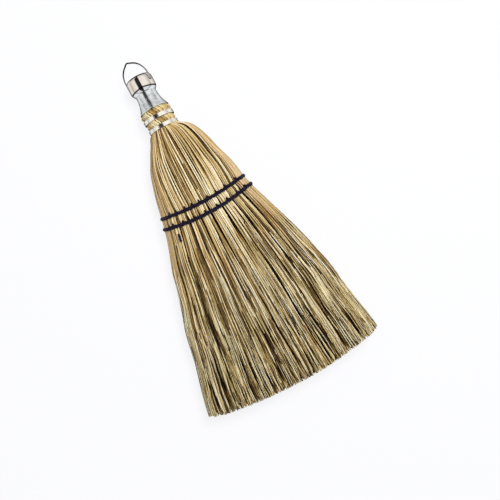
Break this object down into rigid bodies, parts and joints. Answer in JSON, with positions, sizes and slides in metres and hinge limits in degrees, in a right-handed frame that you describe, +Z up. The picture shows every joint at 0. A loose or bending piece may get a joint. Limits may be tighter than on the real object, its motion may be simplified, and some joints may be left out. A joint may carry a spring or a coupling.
{
  "type": "hand broom",
  "caption": "Whisk broom of natural broomcorn, sewn flat into a fan below a round metal-capped handle, with a swinging wire bail to hang it by.",
  "frame": {"origin": "middle of the footprint, on the table the broom lies on", "axes": "+X across the fan, +Y along the handle toward the hanging bail, +Z up through the flat of the fan"},
  "size_m": [0.14, 0.2656, 0.028],
  "materials": {
    "polished_nickel": "polished warm nickel plate",
    "tinned_steel": "satin tinned sheet steel",
    "bright_wire": "drawn steel wire",
    "binding_wire": "annealed binding wire",
    "broomcorn": "dry natural straw, slightly glossy stalks",
    "inner_broomcorn": "dry natural straw in shade",
    "waxed_twine": "waxed dark navy sewing twine"
  },
  "bodies": {
    "broom": {"back_straw_01": "broomcorn", "back_straw_02": "broomcorn", "back_straw_03": "broomcorn", "back_straw_04": "broomcorn", "back_straw_05": "broomcorn", "back_straw_06": "broomcorn", "back_straw_07": "broomcorn", "back_straw_08": "broomcorn", "back_straw_09": "broomcorn", "back_straw_10": "broomcorn", "back_straw_11": "broomcorn", "back_straw_12": "broomcorn", "back_straw_13": "broomcorn", "back_straw_14": "broomcorn", "binding_wire": "binding_wire", "end_cap": "polished_nickel", "front_straw_01": "broomcorn", "front_straw_02": "broomcorn", "front_straw_03": "broomcorn", "front_straw_04": "broomcorn", "front_straw_05": "broomcorn", "front_straw_06": "broomcorn", "front_straw_07": "broomcorn", "front_straw_08": "broomcorn", "front_straw_09": "broomcorn", "front_straw_10": "broomcorn", "front_straw_11": "broomcorn", "front_straw_12": "broomcorn", "front_straw_13": "broomcorn", "front_straw_14": "broomcorn", "handle_sleeve": "tinned_steel", "inner_straw": "inner_broomcorn", "left_straw_01": "broomcorn", "left_straw_02": "broomcorn", "left_straw_03": "broomcorn", "left_straw_04": "broomcorn", "left_straw_05": "broomcorn", "left_straw_06": "broomcorn", "left_straw_07": "broomcorn", "left_straw_08": "broomcorn", "lower_hoop": "tinned_steel", "lower_sewing_band": "waxed_twine", "lower_sewing_stitches": "waxed_twine", "right_straw_01": "broomcorn", "right_straw_02": "broomcorn", "right_straw_03": "broomcorn", "right_straw_04": "broomcorn", "right_straw_05": "broomcorn", "right_straw_06": "broomcorn", "right_straw_07": "broomcorn", "right_straw_08": "broomcorn", "upper_hoop": "tinned_steel", "upper_sewing_band": "waxed_twine", "upper_sewing_stitches": "waxed_twine"},
    "hanger": {"hanging_bail": "bright_wire"}
  },
  "joints": [
    {"name": "bail_pivot", "type": "hinge", "parent": "broom", "child": "hanger", "pos_m": [0, 0.11386, 0.014], "axis": [0.829, 0, 0.5592], "range_deg": [-151, 129]}
  ]
}
